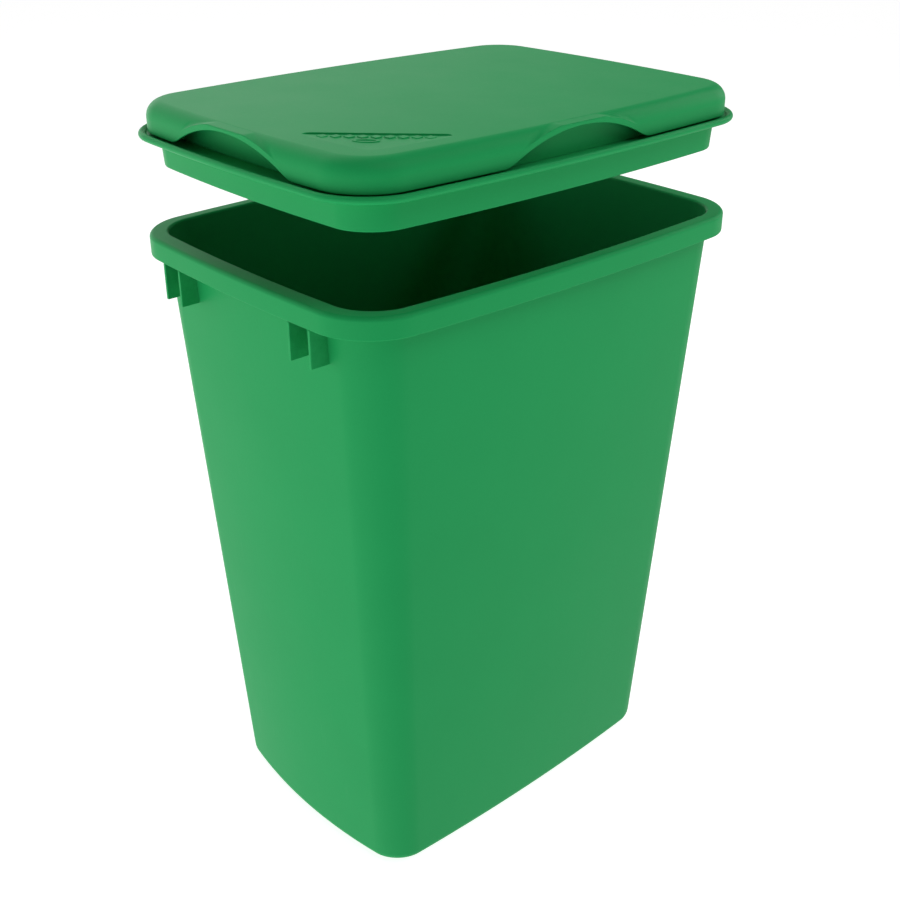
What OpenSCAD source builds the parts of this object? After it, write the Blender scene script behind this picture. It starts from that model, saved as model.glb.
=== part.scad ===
// Tall tapered waste bin with a lift-off two-piece lid, in millimetres.
// Origin at the middle of the floor of the bin, +Z up, long axis along Y.
// The lid is drawn lifted clear of the rim. It drops lid_lift to rest on it.

/* [Bin] */
// Length of the rim along Y between its corners, before its sides bow out
rim_length = 366; // [320:1:450]
// Width of the rim along X between its corners, before its sides bow out
rim_width = 264; // [220:1:320]
// Height of the bin from the floor to the top of the rim
bin_height = 474; // [300:1:600]
// Corner radius of the rim, seen from above
rim_corner = 39; // [34:0.5:60]
// How far the long sides of the rim bow out at their middle
rim_bow_long = 7; // [0:0.5:10]
// How far the short sides of the rim bow out at their middle
rim_bow_short = 5; // [0:0.5:10]
// Length of the base between its corners
base_length = 285; // [240:1:320]
// Width of the base between its corners
base_width = 206; // [170:1:220]
// Corner radius of the base, seen from above
base_corner = 22; // [14:0.5:30]
// How far the long sides of the base bow out at their middle
base_bow_long = 5; // [0:0.5:10]
// How far the short sides of the base bow out at their middle
base_bow_short = 12; // [0:0.5:16]
// Radius of the bottom edge
base_round = 9; // [4:0.5:12]
// Thickness of the bin's walls
wall = 2.2; // [1.6:0.1:3]
// Thickness of the bin's floor
floor_thickness = 3; // [2:0.5:5]

/* [Rim] */
// Height of the turned-down band around the rim
rim_height = 15; // [10:1:24]
// Thickness of the turned-down band
band = 2; // [1.4:0.1:3]
// How far the band stands out from the long walls
overhang_long = 9.6; // [8:0.1:12]
// How far the band stands out from the short walls
overhang_short = 12.2; // [8:0.1:14]
// Radius of the rim's upper outer edge
rim_round = 3; // [2:0.5:5]
// Radius of the edge where the rim turns down into the mouth
mouth_round = 2; // [1:0.5:3]

/* [Fins] */
// How far each fin hangs below the band
fin_drop = 26; // [10:1:40]
// Thickness of a fin
fin_thickness = 2.2; // [1.6:0.1:4]
// Clear gap between the two fins of a pair
fin_gap = 18; // [10:0.5:26]
// Distance from the middle of a pair to where the corner starts to round
fin_inset = 19; // [16:1:40]

/* [Lid frame] */
// How far the lid is lifted above its seat on the rim
lid_lift = 67; // [0:1:150]
// Height of the rounded bead around the flange
bead_height = 4.8; // [4:0.1:6]
// Thickness of the flange inside its bead
flange = 2.4; // [2:0.1:3.4]
// Gap between the plug and the inside of the mouth
plug_gap = 0.9; // [0.5:0.1:1.5]
// Depth that the plug reaches below the flange
plug_depth = 20; // [12:1:30]
// How much wider that gap gets towards the bottom of the plug
plug_ease = 0.1; // [0:0.1:1]
// Thickness of the plug's wall
frame_wall = 1.8; // [1.4:0.1:2.4]
// Width of the flange inside the plug on the long sides, with the core wall at its edge
shelf_long = 4.9; // [4:0.1:8]
// Width of the flange inside the plug on the short sides
shelf_short = 6.9; // [4:0.1:10]

/* [Lid cover] */
// How far the cover's skirt stands in from the flange's edge
skirt_inset = 6.4; // [5.5:0.1:8]
// Gap between the flange and the bottom of the skirt
skirt_gap = 2; // [1:0.1:3]
// Height of the cover from the bottom of its skirt to its top
cover_height = 20; // [18:0.5:28]
// Radius of the cover's upper edge
cover_round = 10.8; // [6:0.2:12]
// Thickness of the cover
cover_wall = 2.2; // [1.8:0.1:2.8]
// Thickness of the core wall that joins the cover to its frame
core_wall = 2; // [1.6:0.1:3]

/* [Finger notches] */
// Width of the two arched finger notches at their foot
notch_width = 127; // [80:1:140]
// Height of the arch
notch_height = 17.4; // [10:0.2:17.4]
// Width of the raised lip that follows the arch
notch_lip = 3; // [2:0.2:4]

/* [Corner recess] */
// Distance from the recess to the cover's edge on the long side
recess_margin_long = 21; // [16:0.5:24]
// Distance from the recess to the cover's edge on the short side
recess_margin_short = 25.3; // [16:0.1:28]
// Distance from the middle of the corner's rounding back to the straight side of the recess
recess_back = 32.9; // [20:0.1:45]
// Radius of the two sharper corners of the recess
recess_corner = 4.6; // [2:0.2:8]
// Depth of the recess
recess_depth = 1.2; // [0.4:0.1:1.4]

/* [Hidden] */

corner_steps = 8;   // segments round each corner
side_steps = 18;    // segments along each side
edge_steps = 4;     // segments round each rolled edge
touch = 0.1;        // gap left where two faces meet
bevel = 1;          // broken edges of the lid frame
green = [0.16, 0.55, 0.32];
deep_green = [0.13, 0.48, 0.28];

// ---- Outlines -------------------------------------------------------
// An outline is [half width, half length, corner radius, long bow, short bow].

rim_outline = [rim_width / 2, rim_length / 2, rim_corner, rim_bow_long, rim_bow_short];
base_outline = [base_width / 2, base_length / 2, base_corner, base_bow_long, base_bow_short];

// The outline moved inwards by d all round.
function inset(o, d) = [o[0] - d, o[1] - d, max(o[2] - d, 1), o[3], o[4]];

// The outline a fraction t of the way from a to b.
function blend(a, b, t) = a * (1 - t) + b * t;

// Signs of the four corners, anticlockwise from +X +Y.
CORNERS = [[1, 1], [-1, 1], [-1, -1], [1, -1]];

// A point at angle a on the rounding of corner c.
function corner_point(o, c, a) = [
    CORNERS[c][0] * (o[0] - o[2]) + o[2] * cos(a),
    CORNERS[c][1] * (o[1] - o[2]) + o[2] * sin(a)
];

// The straight-sided outline, corner by corner with the side that follows each.
function straight_points(o) = [
    for (c = [0:3])
        each concat(
            [for (i = [0:corner_steps]) corner_point(o, c, 90 * (c + i / corner_steps))],
            [for (i = [1:side_steps - 1])
                let (from = corner_point(o, c, 90 * (c + 1)))
                let (to = corner_point(o, (c + 1) % 4, 90 * (c + 1)))
                from + (to - from) * i / side_steps]
        )
];

// Bows the sides out: nothing moves at a corner, the middle of a side moves most.
function bowed(p, o) = [
    p[0] + o[3] * p[0] / o[0] * (1 - pow(p[1] / o[1], 2)),
    p[1] + o[4] * p[1] / o[1] * (1 - pow(p[0] / o[0], 2))
];

// One ring of points at height z.
function ring(o, z) = [for (p = straight_points(o)) let (q = bowed(p, o)) [q[0], q[1], z]];

// ---- Skins ----------------------------------------------------------
// Two triangles between each pair of neighbours on rings a and b.
function band_faces(a, b, n) = [
    for (i = [0:n - 1])
        let (j = (i + 1) % n)
        each [[a * n + i, b * n + i, b * n + j], [a * n + i, b * n + j, a * n + j]]
];

// A closed solid through the rings, with a flat cap on the first and the last.
module capped_skin(rings) {
    n = len(rings[0]);
    last = len(rings) - 1;
    polyhedron(
        points = [for (r = rings) each r],
        faces = concat(
            [[for (i = [0:n - 1]) i]],
            [for (k = [0:last - 1]) each band_faces(k, k + 1, n)],
            [[for (i = [n - 1:-1:0]) last * n + i]]
        ),
        convexity = 6
    );
}

// A closed solid through the rings, where the last ring joins the first.
module looped_skin(rings) {
    n = len(rings[0]);
    count = len(rings);
    polyhedron(
        points = [for (r = rings) each r],
        faces = [for (k = [0:count - 1]) each band_faces(k, (k + 1) % count, n)],
        convexity = 6
    );
}

// ---- Bin ------------------------------------------------------------
band_bottom = bin_height - rim_height;
wall_top = [
    rim_width / 2 - overhang_long,
    rim_length / 2 - overhang_short,
    rim_corner - overhang_long,
    rim_bow_long,
    rim_bow_short
];

// The outer face of the wall at height z, moved inwards by d.
function wall_outline(z, d) = inset(blend(base_outline, wall_top, z / band_bottom), d);

module bin_body() {
    inner_round = base_round - wall;
    mouth_z = bin_height - mouth_round;
    mouth = wall_outline(mouth_z, wall);
    color(green)
    capped_skin(concat(
        // Rolled bottom edge
        [for (i = [0:edge_steps])
            let (a = 90 * i / edge_steps)
            let (z = base_round * (1 - cos(a)))
            ring(wall_outline(z, base_round * (1 - sin(a))), z)],
        // Up the wall, across under the rim and down inside the band
        [ring(wall_outline(bin_height - wall, 0), bin_height - wall)],
        [ring(inset(rim_outline, band), bin_height - wall)],
        [ring(inset(rim_outline, band), band_bottom)],
        [ring(rim_outline, band_bottom)],
        // Rounded upper edge of the rim
        [for (i = [0:edge_steps])
            let (a = 90 * i / edge_steps)
            ring(inset(rim_outline, rim_round * (1 - cos(a))),
                bin_height - rim_round * (1 - sin(a)))],
        // Over the lip and into the mouth
        [for (i = [0:2])
            let (a = 45 * i)
            ring(inset(mouth, -mouth_round * (1 - sin(a))), mouth_z + mouth_round * cos(a))],
        // Down the inside to the rolled edge of the floor
        [for (i = [edge_steps:-1:0])
            let (a = 90 * i / edge_steps)
            let (z = floor_thickness + inner_round * (1 - cos(a)))
            ring(wall_outline(z, wall + inner_round * (1 - sin(a))), z)]
    ));
}

// How far the outline o reaches along Y at the place x along a short side.
function reach(o, x) = o[1] + o[4] * (1 - pow(x / o[0], 2));

// One fin in the Y-Z plane, from the wall out to the band and below it.
module fin(x) {
    top = bin_height - wall - touch;
    bottom = band_bottom - fin_drop;
    outside = reach(rim_outline, x);
    translate([x - fin_thickness / 2, 0, 0])
    rotate([90, 0, 90])
    linear_extrude(fin_thickness)
    polygon([
        [reach(wall_outline(bottom, 0), x) + touch, bottom],
        [outside - touch, bottom],
        [outside - touch, band_bottom - touch],
        [outside - band - touch, band_bottom - touch],
        [outside - band - touch, top],
        [reach(wall_outline(top, 0), x) + touch, top]
    ]);
}

module rim_fins() {
    half_pitch = (fin_gap + fin_thickness) / 2;
    pair_place = rim_width / 2 - rim_corner - fin_inset;
    color(green)
    for (end = [0, 1], pair = [-1, 1], side = [-1, 1])
        mirror([0, end, 0])
        fin(pair * pair_place + side * half_pitch);
}

// ---- Lid ------------------------------------------------------------
seat = bin_height + lid_lift;   // underside of the flange
skirt_bottom = seat + flange + skirt_gap;
cover_top = skirt_bottom + cover_height;
skirt_outline = inset(rim_outline, skirt_inset);

// The plug's outer face at the depth d below the seat. It follows the bin's wall down.
function plug_at(d) = inset(wall_outline(bin_height - d, 0), wall + plug_gap + plug_ease * d / plug_depth);

// The core wall's outer and inner faces.
plug_outline = plug_at(0);
core_inner = [
    plug_outline[0] - shelf_long,
    plug_outline[1] - shelf_short,
    plug_outline[2] - shelf_long,
    plug_outline[3],
    plug_outline[4]
];
core_outline = inset(core_inner, -core_wall);

module lid_frame() {
    bead = bead_height / 2;
    plug_bottom = seat - plug_depth;
    flange_top = seat + flange;
    plug_foot = plug_at(plug_depth);
    foot_side = plug_at(plug_depth - bevel);
    color(deep_green)
    looped_skin(concat(
        // Rounded bead, from the seat outwards and over the top
        [for (i = [0:2 * edge_steps])
            let (a = 180 * i / (2 * edge_steps))
            ring(inset(rim_outline, bead * (1 - sin(a))), seat + bead * (1 - cos(a)))],
        [ring(inset(rim_outline, bead_height), (seat + bead_height + flange_top) / 2)],
        [ring(inset(rim_outline, bead_height + bevel), flange_top)],
        // Along the flange to its inner edge and back under it to the plug's wall
        [ring(core_inner, flange_top)],
        [ring(core_inner, seat)],
        [ring(inset(plug_outline, frame_wall), seat)],
        // Down the inside of the plug, across its bottom and up its outside
        [ring(inset(foot_side, frame_wall), plug_bottom + bevel)],
        [ring(inset(plug_foot, frame_wall), plug_bottom)],
        [ring(inset(plug_foot, bevel), plug_bottom)],
        [ring(foot_side, plug_bottom + bevel)],
        [ring(plug_outline, seat)]
    ));
}

// Height of the arch above the skirt's bottom at the place t along a side.
arch_radius = (pow(notch_width / 2, 2) + pow(notch_height, 2)) / (2 * notch_height);
function arch(t) =
    abs(t) < notch_width / 2
    ? sqrt(pow(arch_radius, 2) - t * t) - arch_radius + notch_height
    : 0;

// The arch above each point of the skirt. Only the -Y and +X sides have one.
function arch_heights(o) = [
    for (p = straight_points(o))
        p[1] < 0 && abs(p[0]) < o[0] - o[2] ? arch(p[0])
        : p[0] > 0 && abs(p[1]) < o[1] - o[2] ? arch(p[1])
        : 0
];

// A ring whose height differs from point to point.
function uneven_ring(o, heights) = [
    for (i = [0:len(heights) - 1])
        let (q = bowed(straight_points(o)[i], o))
        [q[0], q[1], heights[i]]
];

round_foot = cover_top - cover_round;   // height where the upper edge starts to round
lip_limit = 75;     // steepest angle that the lip reaches round the upper edge
lip_start = 10;     // first angle of the rounding where there is no lip
round_steps = 5;    // segments up the cover's rounded edge

// Angle round the upper edge at which the lip's top meets it.
function lip_angle(h) =
    let (rise = (skirt_bottom + h + notch_lip - round_foot) / cover_round)
    h == 0 || rise <= 0 ? 0 : min(asin(min(rise, 1)), lip_limit);

// Outer rounding: fraction f of the way from the lip to the flat top.
function round_angle(h, f) =
    let (start = max(lip_angle(h), lip_start))
    start + (90 - start) * f;

function outer_round(f) =
    let (hs = arch_heights(skirt_outline))
    [for (i = [0:len(hs) - 1])
        let (a = round_angle(hs[i], f))
        let (d = cover_round * (1 - cos(a)))
        let (o = inset(skirt_outline, d))
        let (q = bowed(straight_points(o)[i], o))
        [q[0], q[1], round_foot + cover_round * sin(a)]];

// The cover's top and skirt.
module cover_shell() {
    hs = arch_heights(skirt_outline);
    inner_round = cover_round - cover_wall;
    capped_skin(concat(
        // From the flat underside round the edge and down inside the skirt
        [for (a = [90:-15:15])
            let (d = cover_wall + inner_round * (1 - cos(a)))
            uneven_ring(inset(skirt_outline, d),
                [for (h = hs) max(round_foot + inner_round * sin(a), skirt_bottom + h)])],
        [uneven_ring(inset(skirt_outline, cover_wall), [for (h = hs) skirt_bottom + h])],
        // Bottom of the skirt, its outer face, the lip and the rounded edge
        [uneven_ring(skirt_outline, [for (h = hs) skirt_bottom + h])],
        [uneven_ring(skirt_outline,
            [for (h = hs) round_foot + cover_round * sin(lip_angle(h))])],
        [for (k = [0:round_steps]) outer_round(k / round_steps)]
    ));
}

// The wall under the cover that stands on the frame's flange.
module core() {
    foot = seat + flange + touch;
    top = cover_top - cover_wall / 2;
    looped_skin([
        ring(core_outline, foot),
        ring(core_outline, top),
        ring(core_inner, top),
        ring(core_inner, foot)
    ]);
}

// Outline of the recess: the corner of the cover, cut off straight at 45 degrees.
module recess_shape() {
    o = [
        skirt_outline[0] - recess_margin_long,
        skirt_outline[1] - recess_margin_short,
        max(skirt_outline[2] - recess_margin_long, 1),
        skirt_outline[3],
        skirt_outline[4]
    ];
    corner = [skirt_outline[0] - skirt_outline[2], skirt_outline[2] - skirt_outline[1]];
    offset(recess_corner)
    offset(-recess_corner)
    intersection() {
        polygon([for (p = straight_points(o)) bowed(p, o)]);
        translate(corner)
        rotate(-45)
        translate([-recess_back, -rim_length])
        square(2 * rim_length);
    }
}

module lid_cover() {
    color(green)
    difference() {
        union() {
            cover_shell();
            core();
        }
        translate([0, 0, cover_top - recess_depth])
        linear_extrude(2 * recess_depth)
        recess_shape();
    }
}

bin_body();
rim_fins();
lid_frame();
lid_cover();
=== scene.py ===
"""Looks of the tall waste bin with its lid lifted clear of the rim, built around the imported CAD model."""

import math

import bmesh
import bpy
import numpy as np
from mathutils import Matrix, Vector, geometry


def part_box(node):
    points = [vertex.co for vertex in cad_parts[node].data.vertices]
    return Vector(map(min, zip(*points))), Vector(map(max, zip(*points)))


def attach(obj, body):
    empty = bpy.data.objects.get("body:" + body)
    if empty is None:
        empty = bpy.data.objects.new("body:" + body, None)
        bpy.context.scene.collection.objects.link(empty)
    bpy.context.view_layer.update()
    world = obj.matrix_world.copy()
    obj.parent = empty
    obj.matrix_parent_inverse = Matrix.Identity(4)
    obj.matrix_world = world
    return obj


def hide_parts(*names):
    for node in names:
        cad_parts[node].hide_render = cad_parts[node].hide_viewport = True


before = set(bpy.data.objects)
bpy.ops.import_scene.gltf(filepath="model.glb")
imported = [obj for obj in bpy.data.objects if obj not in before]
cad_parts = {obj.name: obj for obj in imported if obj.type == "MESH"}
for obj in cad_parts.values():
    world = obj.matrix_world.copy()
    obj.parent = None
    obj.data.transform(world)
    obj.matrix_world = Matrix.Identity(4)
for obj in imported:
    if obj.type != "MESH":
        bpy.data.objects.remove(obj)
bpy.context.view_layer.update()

MM = 0.001  # lengths below are in millimetres, as in the CAD source

# ---- Sizes that the frame gives -----------------------------------------
bin_high = np.array(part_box("bin_body")[1]) / MM
fins_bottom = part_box("rim_fins")[0][2] / MM
frame_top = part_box("lid_frame")[1][2] / MM
cover_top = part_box("lid_cover")[1][2] / MM

# ---- Sizes that are the CAD source's own ---------------------------------
RIM_CORNER = 39.0
RIM_BOW_LONG = 7.0
RIM_BOW_SHORT = 5.0
BASE_OUTLINE = np.array([103.0, 142.5, 22.0, 5.0, 12.0])
BASE_ROUND = 9.0
WALL = 2.2
FLOOR = 3.0
RIM_HEIGHT = 15.0
BAND = 2.0
OVERHANG_LONG = 9.6
OVERHANG_SHORT = 12.2
RIM_ROUND = 3.0
MOUTH_ROUND = 2.0
FIN_THICKNESS = 2.2
FIN_GAP = 18.0
FIN_INSET = 19.0
BEAD = 4.8
FLANGE = 2.4
PLUG_GAP = 0.9
PLUG_DEPTH = 20.0
PLUG_EASE = 0.1
FRAME_WALL = 1.8
SHELF_LONG = 4.9
SHELF_SHORT = 6.9
CORE_WALL = 2.0
SKIRT_INSET = 6.4
SKIRT_GAP = 2.0
COVER_ROUND = 10.8
COVER_WALL = 2.2
NOTCH_WIDTH = 127.0
NOTCH_HEIGHT = 17.4
RECESS_MARGIN_LONG = 21.0
RECESS_MARGIN_SHORT = 25.3
RECESS_BACK = 32.9
RECESS_CORNER = 4.6
RECESS_DEPTH = 1.2
TOUCH = 0.1

# ---- Sizes of the finer detail -------------------------------------------
NOTCH_LIP = 4.0  # lip over each finger notch, where the arch is low
NOTCH_FOOT = 3.0  # height over which the arch eases into the skirt's bottom
LIP_LIMIT = 78.0  # steepest angle, in degrees, that the lip reaches on the rounded edge
LIP_SWEEP = 0.35  # share of the rounded edge above the lip that its hollow takes up
EDGE = 0.5  # rounding of the bottom edge of the lid's skirt
FIN_EDGE = 0.3  # broken edges of the fins
FIN_ROOT = 0.5  # how far the fins reach into the wall
WALL_RINGS = 22  # rings of points up each side of the bin's wall
WELD = 0.002  # points closer than this are one point

rim_outline = np.array(
    [bin_high[0] - RIM_BOW_LONG, bin_high[1] - RIM_BOW_SHORT, RIM_CORNER, RIM_BOW_LONG, RIM_BOW_SHORT]
)
rim_top = bin_high[2]
band_bottom = rim_top - RIM_HEIGHT


# ---- Outlines and rings --------------------------------------------------
# An outline is [half width, half length, corner radius, long bow, short bow].
class Spread:
    """Where the points of a ring lie: so many steps round each corner and along each side."""

    def __init__(self, corner_steps, side_steps):
        signs = [(1, 1), (-1, 1), (-1, -1), (1, -1)]
        place, turn = [], []
        for c, here in enumerate(signs):
            after = signs[(c + 1) % 4]
            for i in range(corner_steps + 1):
                a = math.radians(90 * (c + i / corner_steps))
                place.append(here)
                turn.append((math.cos(a), math.sin(a)))
            a = math.radians(90 * (c + 1))
            for i in range(1, side_steps):
                t = i / side_steps
                place.append(tuple(p + (q - p) * t for p, q in zip(here, after)))
                turn.append((math.cos(a), math.sin(a)))
        self.place = np.array(place, float).T
        self.turn = np.array(turn, float).T

    def flat(self, o):
        """The outline's points before its sides bow out."""
        return [
            self.place[0] * (o[0] - o[2]) + o[2] * self.turn[0],
            self.place[1] * (o[1] - o[2]) + o[2] * self.turn[1],
        ]

    def ring(self, o, z):
        """The outline's points at height z. Any of the five sizes, and z, may differ from point to point."""
        x, y = self.flat(o)
        return np.stack(
            [
                x + o[3] * x / o[0] * (1 - (y / o[1]) ** 2),
                y + o[4] * y / o[1] * (1 - (x / o[0]) ** 2),
                np.broadcast_to(z, x.shape),
            ],
            axis=1,
        )


def inset(o, d):
    return [o[0] - d, o[1] - d, np.maximum(o[2] - d, 1.0), o[3], o[4]]


wall_top = np.array(
    [
        rim_outline[0] - OVERHANG_LONG,
        rim_outline[1] - OVERHANG_SHORT,
        RIM_CORNER - OVERHANG_LONG,
        RIM_BOW_LONG,
        RIM_BOW_SHORT,
    ]
)


def wall_outline(z, d):
    """The bin's outer wall at height z, moved inwards by d."""
    t = z / band_bottom
    return inset(BASE_OUTLINE * (1 - t) + wall_top * t, d)


def arc(start, end, steps):
    """(cosine, sine) at even steps from one angle to another, in degrees."""
    for i in range(steps + 1):
        a = math.radians(start + (end - start) * i / steps)
        yield math.cos(a), math.sin(a)


def soften(rings, sizes, steps=4, closed=False):
    """Rounds the profile at each ring whose size isn't 0, as far as that size along its two sides."""
    out = []
    n = len(rings)
    for i, (here, size) in enumerate(zip(rings, sizes)):
        if not size or (not closed and i in (0, n - 1)):
            out.append(here)
            continue
        before, after = rings[i - 1], rings[(i + 1) % n]
        ends = []
        for other in (before, after):
            way = other - here
            length = np.maximum(np.linalg.norm(way, axis=1, keepdims=True), 1e-9)
            ends.append(here + way * np.minimum(size / length, 0.45))
        for k in range(steps + 1):
            t = k / steps
            out.append((1 - t) ** 2 * ends[0] + 2 * t * (1 - t) * here + t * t * ends[1])
    return out


# ---- Meshes ----------------------------------------------------------------
class Builder:
    """Gathers the points and faces of one piece."""

    def __init__(self):
        self.points, self.faces = [], []

    def add(self, ring):
        start = len(self.points)
        self.points.extend(map(tuple, ring))
        return list(range(start, len(self.points)))

    def band(self, a, b):
        """Four-sided faces between two loops of the same number of points."""
        n = len(a)
        for i in range(n):
            j = (i + 1) % n
            self.faces.append((a[i], b[i], b[j], a[j]))

    def skin(self, rings, closed=False):
        loops = [self.add(r) for r in rings]
        for a, b in zip(loops, loops[1:]):
            self.band(a, b)
        if closed:
            self.band(loops[-1], loops[0])
        return loops

    def cap(self, loop, up):
        """One flat face. A loop runs anticlockwise seen from above."""
        self.faces.append(tuple(loop if up else reversed(loop)))

    def fill(self, outer, holes, up=True, between=()):
        """Triangles between a loop, the loops inside it, and the single points that lie between them."""
        loops = [outer, *holes]
        index = [i for loop in loops for i in loop] + list(between)
        flat = [Vector(self.points[i][:2]) for i in index]
        edges, start = [], 0
        for loop in loops:
            n = len(loop)
            edges += [(start + i, start + (i + 1) % n) for i in range(n)]
            start += n
        made = geometry.delaunay_2d_cdt(flat, edges, [], 0, 1e-7)
        back = [group[0] for group in made[3]]
        hole_shapes = [np.array([self.points[i][:2] for i in hole]) for hole in holes]
        outer_shape = np.array([self.points[i][:2] for i in outer])
        for face in made[2]:
            corners = [index[back[i]] for i in face]
            middle = np.mean([self.points[i][:2] for i in corners], axis=0)
            if not inside(middle, outer_shape) or any(inside(middle, h) for h in hole_shapes):
                continue
            p, q, r = (np.array(self.points[i][:2]) for i in corners)
            turn = (q - p)[0] * (r - p)[1] - (q - p)[1] * (r - p)[0]
            self.faces.append(tuple(corners if (turn > 0) == up else corners[::-1]))

    def make(self, name):
        """The piece, with normals that keep flat faces flat and rounded edges smooth."""
        mesh = bpy.data.meshes.new(name)
        mesh.from_pydata([tuple(c * MM for c in p) for p in self.points], [], self.faces)
        bm = bmesh.new()
        bm.from_mesh(mesh)
        bmesh.ops.remove_doubles(bm, verts=bm.verts, dist=WELD * MM)
        bmesh.ops.dissolve_degenerate(bm, dist=WELD * MM, edges=bm.edges)
        bmesh.ops.recalc_face_normals(bm, faces=bm.faces)
        bm.to_mesh(mesh)
        bm.free()
        mesh.shade_smooth()
        mesh.update()
        mesh.normals_split_custom_set_from_vertices(weighted_normals(mesh))
        piece = bpy.data.objects.new(name, mesh)
        bpy.context.scene.collection.objects.link(piece)
        return piece


def inside(p, shape):
    """Whether a point lies inside a closed shape."""
    x, y = shape[:, 0], shape[:, 1]
    x2, y2 = np.roll(x, -1), np.roll(y, -1)
    spans = (y > p[1]) != (y2 > p[1])
    across = x[spans] + (p[1] - y[spans]) / (y2[spans] - y[spans]) * (x2[spans] - x[spans])
    return bool(np.count_nonzero(across > p[0]) % 2)


def weighted_normals(mesh):
    """One normal for each point, from its faces by their areas."""
    total = np.zeros((len(mesh.vertices), 3))
    for face in mesh.polygons:
        total[list(face.vertices)] += np.array(face.normal) * face.area
    size = np.linalg.norm(total, axis=1, keepdims=True)
    return (total / np.maximum(size, 1e-12)).tolist()


# ---- The bin ---------------------------------------------------------------
def make_bin():
    s = Spread(20, 48)
    under = rim_top - WALL
    inner_round = BASE_ROUND - WALL
    mouth_z = rim_top - MOUTH_ROUND
    mouth = wall_outline(mouth_z, WALL)
    rings = []
    # Bottom edge and outer wall
    for c, sn in arc(0, 90, 10):
        z = BASE_ROUND * (1 - c)
        rings.append((s.ring(wall_outline(z, BASE_ROUND * (1 - sn)), z), 0))
    for z in np.linspace(BASE_ROUND, under, WALL_RINGS)[1:-1]:
        rings.append((s.ring(wall_outline(z, 0), z), 0))
    # Under the rim, down inside its band, and up the band's face
    rings.append((s.ring(wall_outline(under, 0), under), 2))
    rings.append((s.ring(inset(rim_outline, BAND), under), 1.5))
    rings.append((s.ring(inset(rim_outline, BAND), band_bottom), 0.5))
    rings.append((s.ring(rim_outline, band_bottom), 0.8))
    for c, sn in arc(0, 90, 8):
        rings.append((s.ring(inset(rim_outline, RIM_ROUND * (1 - c)), rim_top - RIM_ROUND * (1 - sn)), 0))
    # Over the lip and down the inside to the floor
    for c, sn in arc(90, 0, 6):
        rings.append((s.ring(inset(mouth, -MOUTH_ROUND * (1 - c)), mouth_z + MOUTH_ROUND * sn), 0))
    for z in np.linspace(mouth_z, BASE_ROUND, WALL_RINGS)[1:-1]:
        rings.append((s.ring(wall_outline(z, WALL), z), 0))
    for c, sn in arc(90, 0, 8):
        z = FLOOR + inner_round * (1 - c)
        rings.append((s.ring(wall_outline(z, WALL + inner_round * (1 - sn)), z), 0))
    b = Builder()
    loops = b.skin(soften(*zip(*rings)))
    b.cap(loops[0], up=False)
    b.cap(loops[-1], up=True)
    return b.make("bin_shell")


def reach(o, x):
    """How far an outline reaches along Y at the place x on a short side."""
    return o[1] + o[4] * (1 - (x / o[0]) ** 2)


def make_fins():
    """The paired plates under the rim at each end, with their edges broken."""
    half_pitch = (FIN_GAP + FIN_THICKNESS) / 2
    pair_place = rim_outline[0] - RIM_CORNER - FIN_INSET
    bottom = fins_bottom
    top = rim_top - WALL - TOUCH
    bm = bmesh.new()
    for end in (1, -1):
        for pair in (-1, 1):
            for side in (-1, 1):
                x = pair * pair_place + side * half_pitch
                outside = reach(rim_outline, x)
                profile = [
                    (reach(wall_outline(bottom, 0), x) - FIN_ROOT, bottom),
                    (outside - TOUCH, bottom),
                    (outside - TOUCH, band_bottom - TOUCH),
                    (outside - BAND - TOUCH, band_bottom - TOUCH),
                    (outside - BAND - TOUCH, top),
                    (reach(wall_outline(top, 0), x) - FIN_ROOT, top),
                ]
                half = FIN_THICKNESS / 2
                sides = [
                    [bm.verts.new(((x + t) * MM, -end * y * MM, z * MM)) for y, z in profile]
                    for t in (-half, half)
                ]
                bm.faces.new(sides[0])
                bm.faces.new(sides[1][::-1])
                n = len(profile)
                for i in range(n):
                    j = (i + 1) % n
                    bm.faces.new((sides[0][i], sides[1][i], sides[1][j], sides[0][j]))
    bmesh.ops.recalc_face_normals(bm, faces=bm.faces)
    bmesh.ops.bevel(
        bm,
        geom=list(bm.edges),
        offset=FIN_EDGE * MM,
        segments=3,
        profile=0.5,
        affect="EDGES",
        clamp_overlap=True,
    )
    mesh = bpy.data.meshes.new("fin_plates")
    bm.to_mesh(mesh)
    bm.free()
    mesh.shade_smooth()
    mesh.normals_split_custom_set_from_vertices(weighted_normals(mesh))
    piece = bpy.data.objects.new("fin_plates", mesh)
    bpy.context.scene.collection.objects.link(piece)
    return piece


# ---- The lid's frame -------------------------------------------------------
seat = frame_top - BEAD
skirt_bottom = seat + FLANGE + SKIRT_GAP
skirt_outline = np.array(inset(rim_outline, SKIRT_INSET))


def plug_at(d):
    """The plug's outer face at the depth d below the seat."""
    return inset(wall_outline(rim_top - d, 0), WALL + PLUG_GAP + PLUG_EASE * d / PLUG_DEPTH)


plug_outline = plug_at(0)
core_inner = [
    plug_outline[0] - SHELF_LONG,
    plug_outline[1] - SHELF_SHORT,
    plug_outline[2] - SHELF_LONG,
    plug_outline[3],
    plug_outline[4],
]
core_outline = inset(core_inner, -CORE_WALL)


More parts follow.
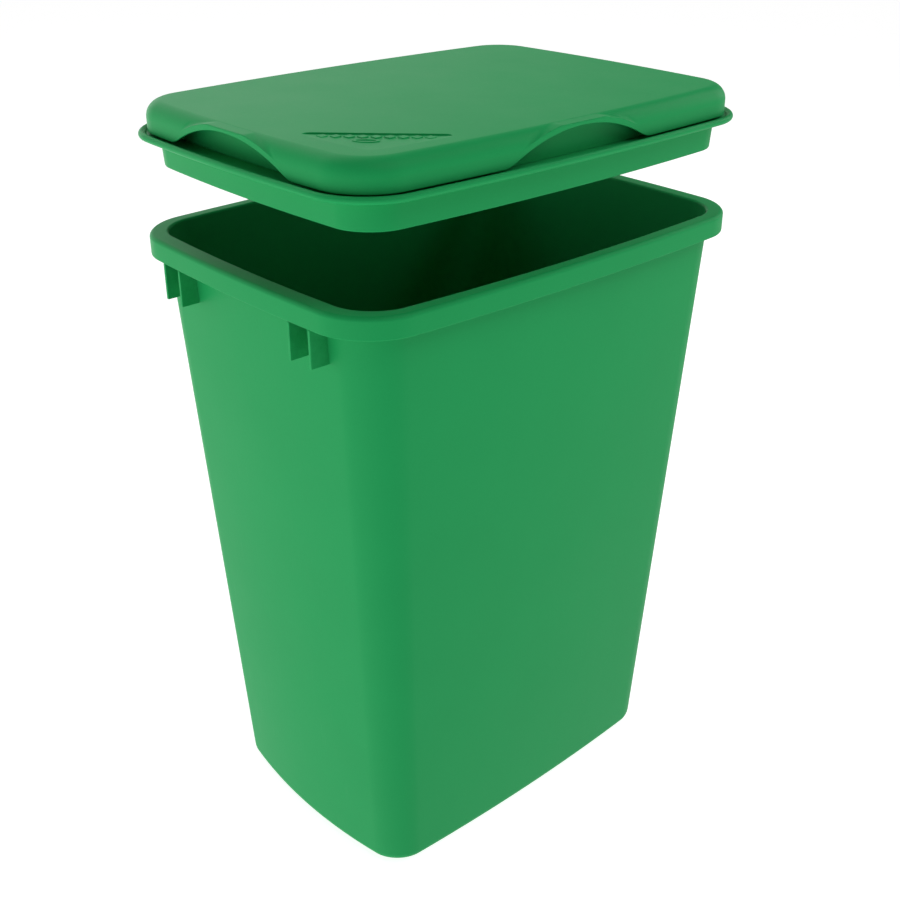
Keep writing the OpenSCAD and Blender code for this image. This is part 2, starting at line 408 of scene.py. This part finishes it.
def make_frame():
    s = Spread(20, 48)
    bead = BEAD / 2
    plug_bottom = seat - PLUG_DEPTH
    flange_top = seat + FLANGE
    rings = []
    for c, sn in arc(0, 180, 14):
        rings.append((s.ring(inset(rim_outline, bead * (1 - sn)), seat + bead * (1 - c)), 0))
    rings.append((s.ring(inset(rim_outline, BEAD - 0.2), (seat + BEAD + flange_top) / 2), 0.4))
    rings.append((s.ring(inset(rim_outline, BEAD + 0.6), flange_top), 0.8))
    rings.append((s.ring(plug_outline, flange_top), 0))
    rings.append((s.ring(core_inner, flange_top), 0.4))
    rings.append((s.ring(core_inner, seat), 0.4))
    rings.append((s.ring(inset(plug_outline, FRAME_WALL), seat), 0.8))
    depths = np.linspace(0, PLUG_DEPTH, 6)
    for d in depths[1:-1]:
        rings.append((s.ring(inset(plug_at(d), FRAME_WALL), seat - d), 0))
    rings.append((s.ring(inset(plug_at(PLUG_DEPTH), FRAME_WALL), plug_bottom), 0.7))
    rings.append((s.ring(plug_at(PLUG_DEPTH), plug_bottom), 1.0))
    for d in depths[-2:0:-1]:
        rings.append((s.ring(plug_at(d), seat - d), 0))
    rings.append((s.ring(plug_outline, seat), 0.8))
    b = Builder()
    b.skin(soften(*zip(*rings), closed=True), closed=True)
    return b.make("lid_frame_ring")


# ---- The lid's cover -------------------------------------------------------
round_foot = cover_top - COVER_ROUND
to_corner = np.array([1, -1]) / math.sqrt(2)  # towards the corner of the lid that has the recess
chord = np.array([1, 1]) / math.sqrt(2)  # along the straight side of the recess
rounding_middle = np.array([skirt_outline[0] - skirt_outline[2], skirt_outline[2] - skirt_outline[1]])
chord_place = rounding_middle @ to_corner - RECESS_BACK
arch_radius = ((NOTCH_WIDTH / 2) ** 2 + NOTCH_HEIGHT**2) / (2 * NOTCH_HEIGHT)


def arch(t):
    """Height of a finger notch above the skirt's bottom at the place t along a side."""
    bow = np.sqrt(np.maximum(arch_radius**2 - t * t, 0)) - arch_radius + NOTCH_HEIGHT
    ease = np.maximum(NOTCH_FOOT - np.abs(bow), 0) / NOTCH_FOOT
    return np.maximum(bow, 0) + ease**2 * NOTCH_FOOT / 4


def clipped(shape, place, way):
    """What is left of a convex shape on the side of a line that its unit vector points to."""
    depth = (shape - place) @ way
    out = []
    for i, (p, d) in enumerate(zip(shape, depth)):
        q, e = shape[i - 1], depth[i - 1]
        if (d > 0) != (e > 0):
            out.append(q + (p - q) * e / (e - d))
        if d > 0:
            out.append(p)
    return np.array(out)


def recess_shape():
    """Outline of the corner recess: a corner of the cover cut off at 45 degrees, with its tips rounded."""
    o = [
        skirt_outline[0] - RECESS_MARGIN_LONG,
        skirt_outline[1] - RECESS_MARGIN_SHORT,
        skirt_outline[2] - RECESS_MARGIN_LONG,
        skirt_outline[3],
        skirt_outline[4],
    ]
    shape = Spread(40, 40).ring(o, 0)[:, :2]
    shape = clipped(shape, to_corner * chord_place, to_corner)
    # Shrunk by the corner radius, then grown again round every point that is left
    small = shape
    for here, after in zip(shape, np.roll(shape, -1, axis=0)):
        along = (after - here) / np.linalg.norm(after - here)
        inwards = np.array([-along[1], along[0]])
        small = clipped(small, here + inwards * RECESS_CORNER, inwards)
    grown = []
    for c, sn in list(arc(0, 360, 720))[:-1]:
        way = np.array([c, sn])
        grown.append(small[np.argmax(small @ way)] + way * RECESS_CORNER)
    return np.array(grown)


def even_loop(points, spacing):
    """The closed loop with points at even distances."""
    closed = np.vstack([points, points[:1]])
    steps = np.linalg.norm(np.diff(closed, axis=0), axis=1)
    total = np.concatenate([[0], np.cumsum(steps)])
    at = np.linspace(0, total[-1], max(int(total[-1] / spacing), 8), endpoint=False)
    return np.stack([np.interp(at, total, closed[:, k]) for k in (0, 1)], axis=1)


def outward(points):
    """Unit vectors that point out of an anticlockwise loop at each of its points."""
    way = np.roll(points, -1, axis=0) - np.roll(points, 1, axis=0)
    way /= np.linalg.norm(way, axis=1, keepdims=True)
    return np.stack([way[:, 1], -way[:, 0]], axis=1)


def oval(middle, along, length, width, power=2.0, steps=48):
    """A loop between a lozenge (power 1) and an ellipse (power 2)."""
    across = np.array([-along[1], along[0]])
    points = []
    for c, sn in list(arc(0, 360, steps))[:-1]:
        u = math.copysign(abs(c) ** (2 / power), c)
        v = math.copysign(abs(sn) ** (2 / power), sn)
        points.append(middle + along * (u * length / 2) + across * (v * width / 2))
    return np.array(points)


# The relief in the recess: a row of lozenges beside its straight side, and a ring nearer the corner
LOZENGE_COUNT = 9
LOZENGE_PITCH = 8.2
LOZENGE_LENGTH = 7.0
LOZENGE_WIDTH = 8.0
LOZENGE_POWER = 1.15
LOZENGES_FROM_CHORD = 7.8
RING_FROM_CHORD = 18.6
RING_ASIDE = -5.0
RING_LENGTH = 17.0
RING_WIDTH = 8.6
RING_BAND = 2.4
RELIEF_SHARE = 0.95  # height of the relief as a share of the recess's depth at that place
RELIEF_MOST = 0.9  # and at most this high
RECESS_EASE = 0.6  # distance over which the recess deepens away from the ends of its straight side
RECESS_STEP = 0.6  # distance between points on the outline of the recess
FLOOR_GRID = 1.6  # distance between points on its floor
# Profiles of its side, and of the relief's: distance outwards, and share of the depth or height
RECESS_SIDE = ((0.35, 0.0), (0.1, 0.08), (0.0, 0.3), (-0.05, 0.75), (-0.15, 0.94), (-0.4, 1.0))
RELIEF_SIDE = ((0.25, 0.0), (0.05, 0.1), (0.0, 0.3), (-0.05, 0.8), (-0.25, 1.0))


def make_cover():
    s = Spread(20, 144)
    inner_round = COVER_ROUND - COVER_WALL
    underside = cover_top - COVER_WALL
    core_foot = seat + FLANGE + TOUCH
    x, y = s.flat(skirt_outline)
    on_end = (y < 0) & (np.abs(x) < skirt_outline[0] - skirt_outline[2])
    on_side = (x > 0) & (np.abs(y) < skirt_outline[1] - skirt_outline[2])
    arches = np.where(on_end, arch(x), np.where(on_side, arch(y), 0.0))
    rise = np.clip((skirt_bottom + arches + NOTCH_LIP - round_foot) / COVER_ROUND, 0, 1)
    lip = np.where(arches > 0, np.minimum(np.degrees(np.arcsin(rise)), LIP_LIMIT), 0.0)

    def on_edge(angle):
        """How far in the rounded edge lies at an angle, and how high."""
        a = np.radians(angle)
        return COVER_ROUND * (1 - np.cos(a)), round_foot + COVER_ROUND * np.sin(a)

    # The core wall, up to where it meets the underside or the inside of the rounded edge
    core_x, core_y = s.flat(core_outline)
    setback = np.hypot(x - core_x, y - core_y)
    meeting = np.arccos(np.clip(1 - (setback - COVER_WALL) / inner_round, 0, 1))
    rings = [
        (s.ring(core_inner, underside), 0),
        (s.ring(core_inner, (underside + core_foot) / 2), 0),
        (s.ring(core_inner, core_foot), 0.2),
        (s.ring(core_outline, core_foot), 0.2),
        (s.ring(core_outline, (underside + core_foot) / 2), 0),
        (s.ring(inset(skirt_outline, setback), round_foot + inner_round * np.sin(meeting)), 0.8),
    ]
    for k in range(1, 9):
        a = meeting * (1 - k / 9)
        z = np.maximum(round_foot + inner_round * np.sin(a), skirt_bottom + arches + 0.02)
        rings.append((s.ring(inset(skirt_outline, COVER_WALL + inner_round * (1 - np.cos(a))), z), 0))
    rings.append((s.ring(inset(skirt_outline, COVER_WALL), skirt_bottom + arches), 0.5))
    rings.append((s.ring(skirt_outline, skirt_bottom + arches), EDGE))
    # The lip over a notch sweeps in from the skirt's face and up onto the rounded edge
    crest_in, crest_z = on_edge(lip)
    sweep_end = lip + LIP_SWEEP * np.minimum(lip / 20, 1) * (90 - lip)
    end_in, end_z = on_edge(sweep_end)
    rings.append((s.ring(skirt_outline, crest_z), 0.9))
    for k in range(1, 8):
        t = k / 8
        d = 2 * t * (1 - t) * crest_in + t * t * end_in
        z = (1 - t * t) * crest_z + t * t * end_z
        rings.append((s.ring(inset(skirt_outline, d), z), 0))
    for k in range(11):
        d, z = on_edge(sweep_end + (90 - sweep_end) * k / 10)
        rings.append((s.ring(inset(skirt_outline, d), z), 0))
    b = Builder()
    loops = b.skin(soften(*zip(*rings)))
    b.cap(loops[0], up=False)
    top_loop = loops[-1]

    # The corner recess: deepest at its straight side, rising to nothing at its other sides
    shape = even_loop(recess_shape(), RECESS_STEP)
    from_chord = shape @ to_corner - chord_place
    rising_side = shape[from_chord > RECESS_CORNER * 0.9]
    ends = shape[from_chord < 0.3] @ chord
    chord_middle = to_corner * chord_place + chord * (ends.max() + ends.min()) / 2

    def depth(points):
        """Depth of the recess at each point."""
        points = np.asarray(points)
        back = np.maximum(points @ to_corner - chord_place, 0)
        ahead = np.linalg.norm(points[:, None] - rising_side[None], axis=2).min(axis=1)
        return RECESS_DEPTH * ahead / (ahead + back + RECESS_EASE)

    def raised_loop(points, out, share):
        """A loop moved out by a distance, raised off the floor by a share of the relief's height."""
        flat = points + outward(points) * out
        down = depth(flat)
        raised = np.minimum(down * share * RELIEF_SHARE, RELIEF_MOST)
        return np.column_stack([flat, cover_top - down + raised])

    side_depth = depth(shape)
    recess = b.skin(
        [
            np.column_stack([shape + outward(shape) * out, cover_top - side_depth * share])
            for out, share in RECESS_SIDE
        ]
    )
    b.fill(top_loop, [recess[0]])
    raised = []

    def relief(outline, hole=None):
        """Raises a plain shape off the recess's floor."""
        up = b.skin([raised_loop(outline, out, share) for out, share in RELIEF_SIDE])
        raised.append((outline, up[0]))
        if hole is None:
            b.cap(up[-1], up=True)
            return
        down = b.skin([raised_loop(hole, -out, share) for out, share in RELIEF_SIDE[::-1]])
        b.fill(up[-1], [down[0]])
        b.cap(down[-1], up=True)

    for k in range(LOZENGE_COUNT):
        aside = (k - (LOZENGE_COUNT - 1) / 2) * LOZENGE_PITCH
        place = chord_middle + chord * aside + to_corner * LOZENGES_FROM_CHORD
        relief(oval(place, chord, LOZENGE_LENGTH, LOZENGE_WIDTH, LOZENGE_POWER))
    place = chord_middle + chord * RING_ASIDE + to_corner * RING_FROM_CHORD
    relief(
        oval(place, chord, RING_LENGTH, RING_WIDTH),
        oval(place, chord, RING_LENGTH - 2 * RING_BAND, RING_WIDTH - 2 * RING_BAND),
    )

    # The floor between them, on a grid of points fine enough for its slope
    low, high = shape.min(axis=0), shape.max(axis=0)
    rows = [np.arange(p, q, FLOOR_GRID) for p, q in zip(low, high)]
    free = []
    for p in np.stack(np.meshgrid(*rows), axis=-1).reshape(-1, 2):
        if not inside(p, shape) or np.linalg.norm(shape - p, axis=1).min() < FLOOR_GRID:
            continue
        if any(inside(p, o) or np.linalg.norm(o - p, axis=1).min() < FLOOR_GRID / 2 for o, _ in raised):
            continue
        free.append(p)
    free = np.array(free)
    between = b.add(np.column_stack([free, cover_top - depth(free)]))
    b.fill(recess[-1], [loop for _, loop in raised], between=between)
    return b.make("lid_cover_shell")


# ---- Materials -------------------------------------------------------------
# Scales of the patterns, in repeats per metre
CLOUD_SCALE = 14
FLECK_SCALE = 900
WEAR_SCALE = 120
SCUFF_SCALE = 420
GLOSS_SCALE = 22
GRAIN_SCALE = 1600
WAVE_SCALE = 16
GLOSS_CHANGE = 0.015  # how far the roughness strays either way
GRAIN_DEPTH = 0.15
WAVE_DEPTH = 0.4
PLASTIC_IOR = 1.49
PLASTIC_SPECULAR = 0.05  # the photograph shows hardly any sheen


def moulded_plastic(name, colour, roughness, pattern_shift):
    """Matt moulded polypropylene: very faint clouding, a fine grain, scuffs, and paler worn edges."""
    material = bpy.data.materials.new(name)
    material.use_nodes = True
    nodes, links = material.node_tree.nodes, material.node_tree.links
    shader = next(n for n in nodes if n.type == "BSDF_PRINCIPLED")
    shader.inputs["IOR"].default_value = PLASTIC_IOR
    shader.inputs["Specular IOR Level"].default_value = PLASTIC_SPECULAR

    coordinates = nodes.new("ShaderNodeTexCoord")
    shift = nodes.new("ShaderNodeMapping")
    shift.inputs["Location"].default_value = pattern_shift
    links.new(coordinates.outputs["Object"], shift.inputs["Vector"])

    def noise(scale, detail, vector=None, rough=0.5):
        node = nodes.new("ShaderNodeTexNoise")
        node.inputs["Scale"].default_value = scale
        node.inputs["Detail"].default_value = detail
        node.inputs["Roughness"].default_value = rough
        links.new((vector or shift).outputs["Vector"], node.inputs["Vector"])
        return node

    def spread(source, low, high, to_low, to_high):
        node = nodes.new("ShaderNodeMapRange")
        node.inputs["From Min"].default_value = low
        node.inputs["From Max"].default_value = high
        node.inputs["To Min"].default_value = to_low
        node.inputs["To Max"].default_value = to_high
        links.new(source, node.inputs["Value"])
        return node

    def mix(factor, a, b, blend="MIX"):
        node = nodes.new("ShaderNodeMix")
        node.data_type = "RGBA"
        node.blend_type = blend
        for socket, value in (("Factor", factor), ("A", a), ("B", b)):
            kind = "VALUE" if socket == "Factor" else "RGBA"
            target = next(i for i in node.inputs if i.name == socket and i.type == kind)
            if isinstance(value, tuple):
                target.default_value = (*value, 1)
            elif isinstance(value, float):
                target.default_value = value
            else:
                links.new(value, target)
        return next(o for o in node.outputs if o.type == "RGBA")

    # Colour: slow clouding from the moulding, a fine fleck, and pale edges
    darker = tuple(c * 0.985 for c in colour)
    paler = tuple(c * 1.015 for c in colour)
    clouds = spread(noise(CLOUD_SCALE, 3).outputs["Fac"], 0.3, 0.7, 0.0, 1.0)
    base = mix(clouds.outputs["Result"], darker, paler)
    fleck = spread(noise(FLECK_SCALE, 2).outputs["Fac"], 0.35, 0.65, 0.0, 0.10)
    base = mix(fleck.outputs["Result"], base, tuple(c * 1.3 for c in colour))
    shape = nodes.new("ShaderNodeNewGeometry")
    worn = spread(shape.outputs["Pointiness"], 0.53, 0.62, 0.0, 0.30)
    patchy = spread(noise(WEAR_SCALE, 4, rough=0.7).outputs["Fac"], 0.42, 0.62, 0.0, 1.0)
    wear = nodes.new("ShaderNodeMath")
    wear.operation = "MULTIPLY"
    links.new(worn.outputs["Result"], wear.inputs[0])
    links.new(patchy.outputs["Result"], wear.inputs[1])
    base = mix(wear.outputs["Value"], base, tuple(c * 1.35 + 0.01 for c in colour))
    links.new(base, shader.inputs["Base Color"])

    # Roughness: broad changes of gloss, with fine upright scuffs
    stretch = nodes.new("ShaderNodeMapping")
    stretch.inputs["Scale"].default_value = (1, 1, 0.06)
    links.new(shift.outputs["Vector"], stretch.inputs["Vector"])
    scuffs = spread(noise(SCUFF_SCALE, 3, stretch, 0.6).outputs["Fac"], 0.60, 0.74, 0.0, 0.06)
    patches = noise(GLOSS_SCALE, 4, rough=0.6).outputs["Fac"]
    gloss = spread(patches, 0.3, 0.7, roughness - GLOSS_CHANGE, roughness + GLOSS_CHANGE)
    total = nodes.new("ShaderNodeMath")
    total.operation = "SUBTRACT"
    links.new(gloss.outputs["Result"], total.inputs[0])
    links.new(scuffs.outputs["Result"], total.inputs[1])
    links.new(total.outputs["Value"], shader.inputs["Roughness"])

    # Surface: the fine grain of the mould and a slight waviness of the walls
    grain = nodes.new("ShaderNodeBump")
    grain.inputs["Strength"].default_value = 0.12
    grain.inputs["Distance"].default_value = GRAIN_DEPTH * MM
    links.new(noise(GRAIN_SCALE, 2).outputs["Fac"], grain.inputs["Height"])
    wave = nodes.new("ShaderNodeBump")
    wave.inputs["Strength"].default_value = 0.05
    wave.inputs["Distance"].default_value = WAVE_DEPTH * MM
    links.new(noise(WAVE_SCALE, 1).outputs["Fac"], wave.inputs["Height"])
    links.new(wave.outputs["Normal"], grain.inputs["Normal"])
    links.new(grain.outputs["Normal"], shader.inputs["Normal"])
    return material


GREEN = (0.0130, 0.301, 0.0845)
bin_plastic = moulded_plastic("bin_plastic", GREEN, 0.46, (0, 0, 0))
lid_plastic = moulded_plastic("lid_plastic", GREEN, 0.42, (1.7, 0.4, 0.9))

for piece, nodes_replaced, body, slot, material in (
    (make_bin(), ["bin_body"], "bin", "bin_plastic", bin_plastic),
    (make_fins(), ["rim_fins"], "bin", "bin_plastic", bin_plastic),
    (make_frame(), ["lid_frame"], "lid", "lid_plastic", lid_plastic),
    (make_cover(), ["lid_cover"], "lid", "lid_plastic", lid_plastic),
):
    piece.data.materials.append(material)
    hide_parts(*nodes_replaced)
    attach(piece, body)
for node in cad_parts.values():
    node.data.materials.clear()
    node.data.materials.append(bin_plastic)

# ---- Floor, light and camera ----------------------------------------------
FLOOR_REACH = 30.0  # metres to each side
FLOOR_DROP = 0.2  # below the bin's underside
FLOOR_BASE = 0.38  # what it gives back of the light on it, for a faint shadow
FLOOR_GLOW = 0.90  # its own brightness, which makes up the rest of the white ground
floor_mesh = bpy.data.meshes.new("floor")
corners = [(x * FLOOR_REACH, y * FLOOR_REACH, 0) for x, y in ((-1, -1), (1, -1), (1, 1), (-1, 1))]
floor_mesh.from_pydata(corners, [], [(0, 1, 2, 3)])
floor = bpy.data.objects.new("floor", floor_mesh)
floor.location.z = -FLOOR_DROP * MM
# The floor is only looked at: it neither lights the bin nor holds back light from below
floor.visible_diffuse = False
floor.visible_glossy = False
floor.visible_shadow = False
bpy.context.scene.collection.objects.link(floor)
pale = bpy.data.materials.new("pale_floor")
pale.use_nodes = True
pale_shader = next(n for n in pale.node_tree.nodes if n.type == "BSDF_PRINCIPLED")
pale_shader.inputs["Base Color"].default_value = (FLOOR_BASE, FLOOR_BASE, FLOOR_BASE, 1)
pale_shader.inputs["Roughness"].default_value = 0.9
pale_shader.inputs["Specular IOR Level"].default_value = 0.0
pale_shader.inputs["Emission Color"].default_value = (1, 1, 1, 1)
pale_shader.inputs["Emission Strength"].default_value = FLOOR_GLOW
floor_mesh.materials.append(pale)

scene = bpy.context.scene


def towards(azimuth, elevation):
    """Unit vector to a compass bearing seen from above: 0 is -Y and 90 is +X."""
    a, e = math.radians(azimuth), math.radians(elevation)
    return Vector((math.sin(a) * math.cos(e), -math.cos(a) * math.cos(e), math.sin(e)))


# The studio walls: plain white to look at. As a light, broad glows in a few directions.
GLOWS = (((-90, 0), 2.19), ((0, -35), 2.48), ((90, -35), 0.55), ((150, -35), 1.56))
GLOW_POWER = 3
world = bpy.data.worlds.new("studio")
world.use_nodes = True
world_nodes, world_links = world.node_tree.nodes, world.node_tree.links


def world_math(operation, first, second):
    node = world_nodes.new("ShaderNodeMath")
    node.operation = operation
    for socket, value in zip(node.inputs, (first, second)):
        if isinstance(value, (int, float)):
            socket.default_value = value
        else:
            world_links.new(value, socket)
    return node.outputs["Value"]


direction = world_nodes.new("ShaderNodeTexCoord").outputs["Generated"]
brightness = 0.0
for (azimuth, elevation), strength in GLOWS:
    facing = world_nodes.new("ShaderNodeVectorMath")
    facing.operation = "DOT_PRODUCT"
    facing.inputs[1].default_value = towards(azimuth, elevation)
    world_links.new(direction, facing.inputs[0])
    glow = world_math("POWER", world_math("MAXIMUM", facing.outputs["Value"], 0.0), GLOW_POWER)
    brightness = world_math("ADD", brightness, world_math("MULTIPLY", glow, strength))
sky = next(n for n in world_nodes if n.type == "BACKGROUND")
sky.inputs["Color"].default_value = (1, 1, 1, 1)
world_links.new(brightness, sky.inputs["Strength"])
seen_sky = world_nodes.new("ShaderNodeBackground")
seen_sky.inputs["Strength"].default_value = 1.0
seen_sky.inputs["Color"].default_value = (1, 1, 1, 1)
path = world_nodes.new("ShaderNodeLightPath")
either = world_nodes.new("ShaderNodeMixShader")
world_out = next(n for n in world_nodes if n.type == "OUTPUT_WORLD")
world_links.new(path.outputs["Is Camera Ray"], either.inputs["Fac"])
world_links.new(sky.outputs["Background"], either.inputs[1])
world_links.new(seen_sky.outputs["Background"], either.inputs[2])
world_links.new(either.outputs["Shader"], world_out.inputs["Surface"])
scene.world = world

middle = Vector((0, 0, rim_top * MM / 2))
BOX_DISTANCE = 2.4  # of the soft boxes from the middle of the bin, in metres
BOX_SIZE = 1.6


def soft_light(name, azimuth, elevation, watts):
    """A square soft box in a direction from the middle of the bin."""
    back = towards(azimuth, elevation)
    data = bpy.data.lights.new(name, "AREA")
    data.shape = "SQUARE"
    data.size = BOX_SIZE
    data.energy = watts
    light = bpy.data.objects.new(name, data)
    light.location = middle + back * BOX_DISTANCE
    light.rotation_mode = "QUATERNION"
    light.rotation_quaternion = (-back).to_track_quat("-Z", "Y")
    scene.collection.objects.link(light)


soft_light("left_box", -90, 60, 13.5)
soft_light("right_box", 100, 60, 17.6)
soft_light("back_box", 165, 30, 20.1)

# The photograph's camera, from the fit of its outlines
VIEW_AZIMUTH = 47.91
VIEW_ELEVATION = 27.08
VIEW_DISTANCE = 1.0240
VIEW_RIGHT = 4.26 * MM
VIEW_UP = 40.05 * MM
SENSOR = 36.0
FOCAL = 49.97
back = towards(VIEW_AZIMUTH, VIEW_ELEVATION)
right = towards(VIEW_AZIMUTH + 90, 0)
up = back.cross(right)
target = middle + right * VIEW_RIGHT + up * VIEW_UP
camera_data = bpy.data.cameras.new("camera")
camera_data.sensor_width = SENSOR
camera_data.lens = FOCAL
camera_data.clip_start = 0.01
camera_data.clip_end = 100
camera = bpy.data.objects.new("camera", camera_data)
scene.collection.objects.link(camera)
camera.rotation_mode = "QUATERNION"
camera.location = target + back * VIEW_DISTANCE
camera.rotation_quaternion = Matrix((right, up, back)).transposed().to_quaternion()
scene.camera = camera
scene.view_settings.view_transform = "Standard"

bpy.context.view_layer.update()
